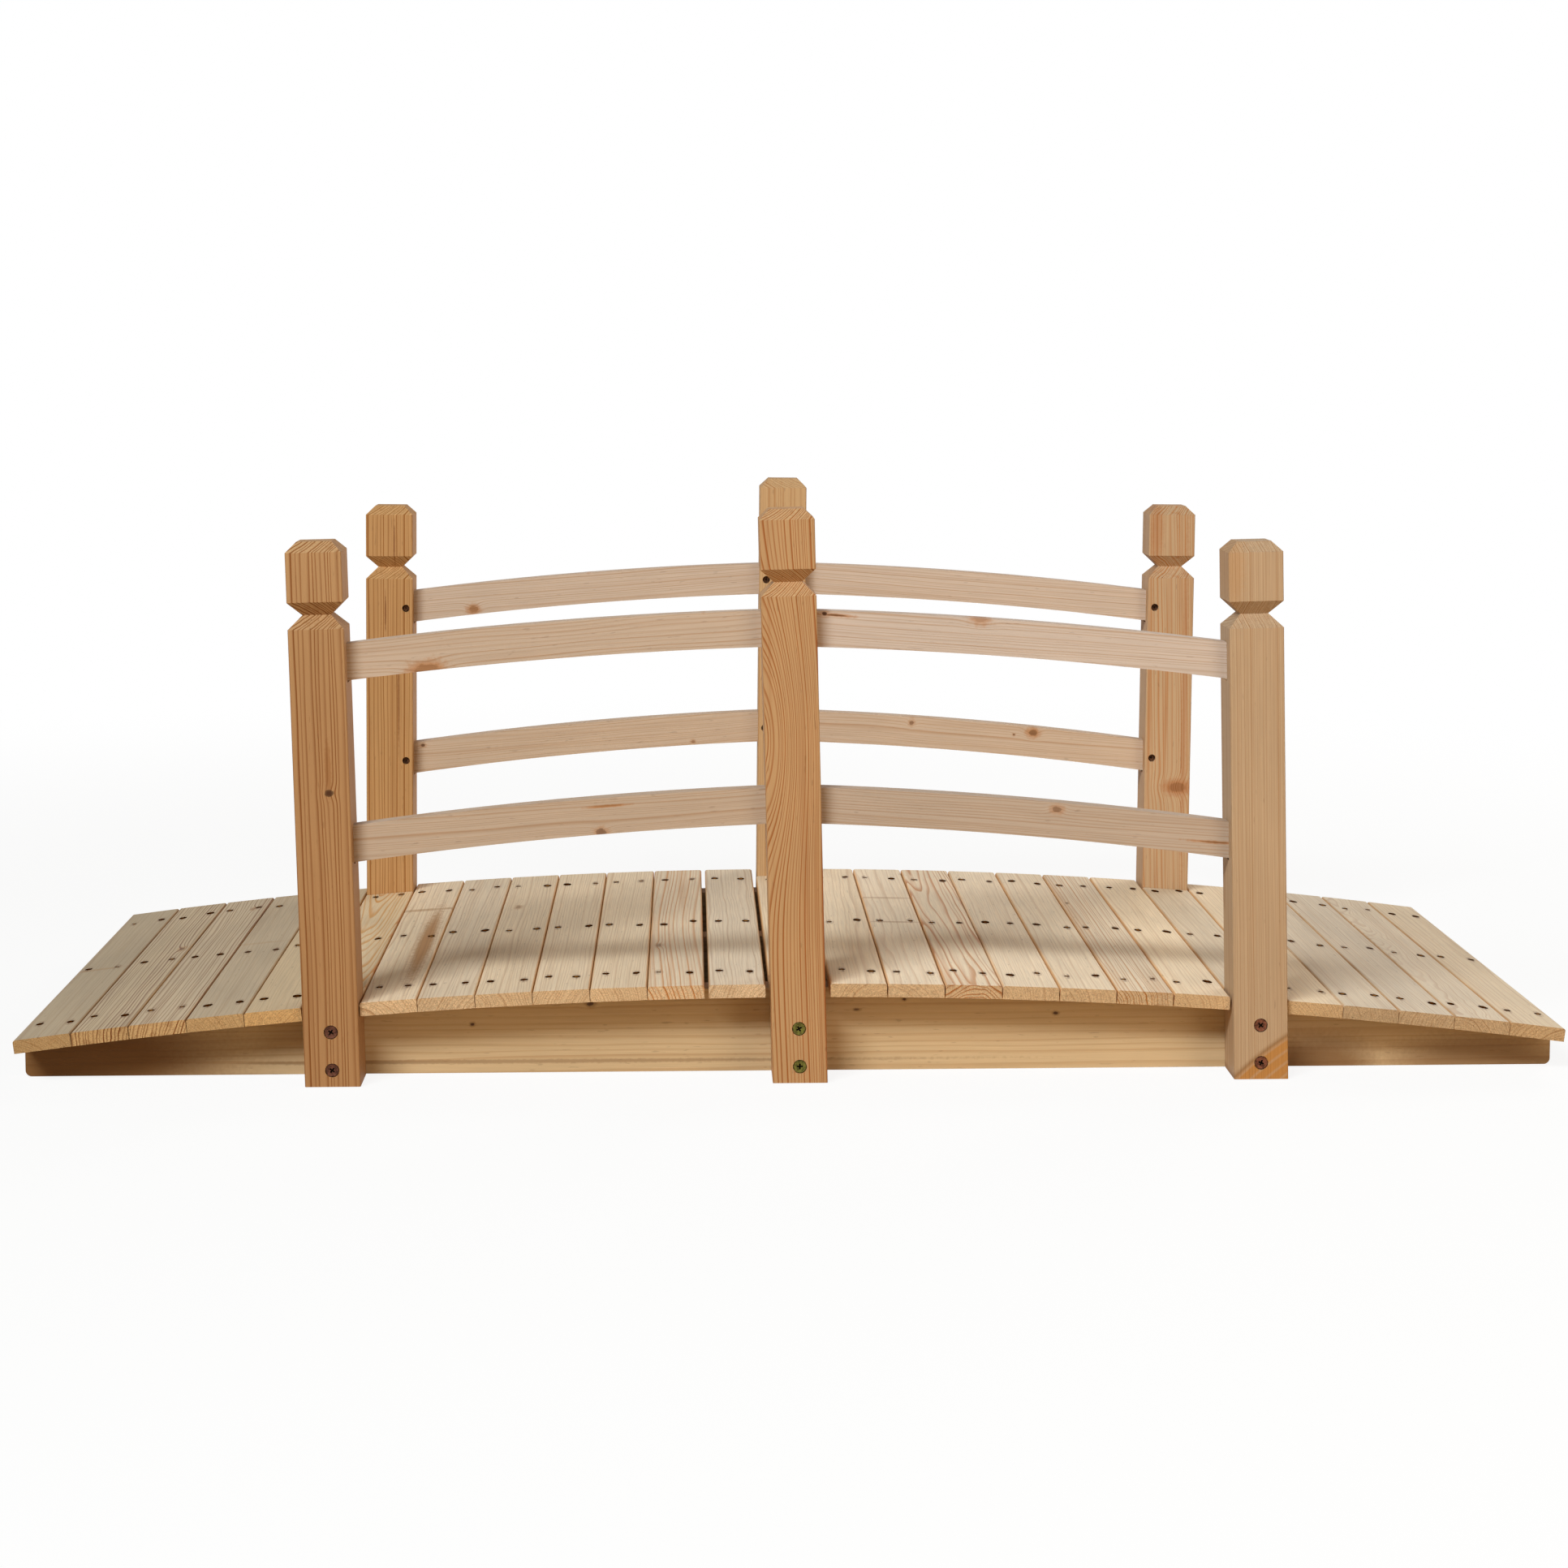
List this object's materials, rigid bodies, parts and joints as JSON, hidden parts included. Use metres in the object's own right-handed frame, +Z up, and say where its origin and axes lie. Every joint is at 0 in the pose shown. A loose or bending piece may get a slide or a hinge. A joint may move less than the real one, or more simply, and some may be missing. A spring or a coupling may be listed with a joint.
{
  "type": "moon bridge",
  "caption": "Small arched garden footbridge of bare fir: a boarded deck on arched beams, with posts and two arched rails along each side.",
  "frame": {"origin": "on the ground, under the middle of the deck", "axes": "+X along the bridge, +Y across it away from the viewer of the picture, +Z up"},
  "size_m": [1.4998, 0.66, 0.5543],
  "materials": {
    "beam_wood": "bare sawn fir, matt",
    "post_wood": "bare planed fir, matt",
    "rail_wood": "bare planed fir, matt",
    "deck_wood": "bare rough-sawn fir, matt"
  },
  "bodies": {
    "root": {"front_beam": "beam_wood", "middle_beam": "beam_wood", "back_beam": "beam_wood", "front_left_post": "post_wood", "front_centre_post": "post_wood", "front_right_post": "post_wood", "back_left_post": "post_wood", "back_centre_post": "post_wood", "back_right_post": "post_wood", "front_left_top_rail": "rail_wood", "front_left_lower_rail": "rail_wood", "front_right_top_rail": "rail_wood", "front_right_lower_rail": "rail_wood", "back_left_top_rail": "rail_wood", "back_left_lower_rail": "rail_wood", "back_right_top_rail": "rail_wood", "back_right_lower_rail": "rail_wood", "deck_board_01": "deck_wood", "deck_board_02": "deck_wood", "deck_board_03": "deck_wood", "deck_board_04": "deck_wood", "deck_board_05": "deck_wood", "deck_board_06": "deck_wood", "deck_board_07": "deck_wood", "deck_board_08": "deck_wood", "deck_board_09": "deck_wood", "deck_board_10": "deck_wood", "deck_board_11": "deck_wood", "deck_board_12": "deck_wood", "deck_board_13": "deck_wood", "deck_board_14": "deck_wood", "deck_board_15": "deck_wood", "deck_board_16": "deck_wood", "deck_board_17": "deck_wood", "deck_board_18": "deck_wood", "deck_board_19": "deck_wood", "deck_board_20": "deck_wood", "deck_board_21": "deck_wood", "deck_board_22": "deck_wood", "deck_board_23": "deck_wood", "deck_board_24": "deck_wood", "deck_board_25": "deck_wood", "deck_board_26": "deck_wood", "deck_board_27": "deck_wood"}
  },
  "joints": []
}
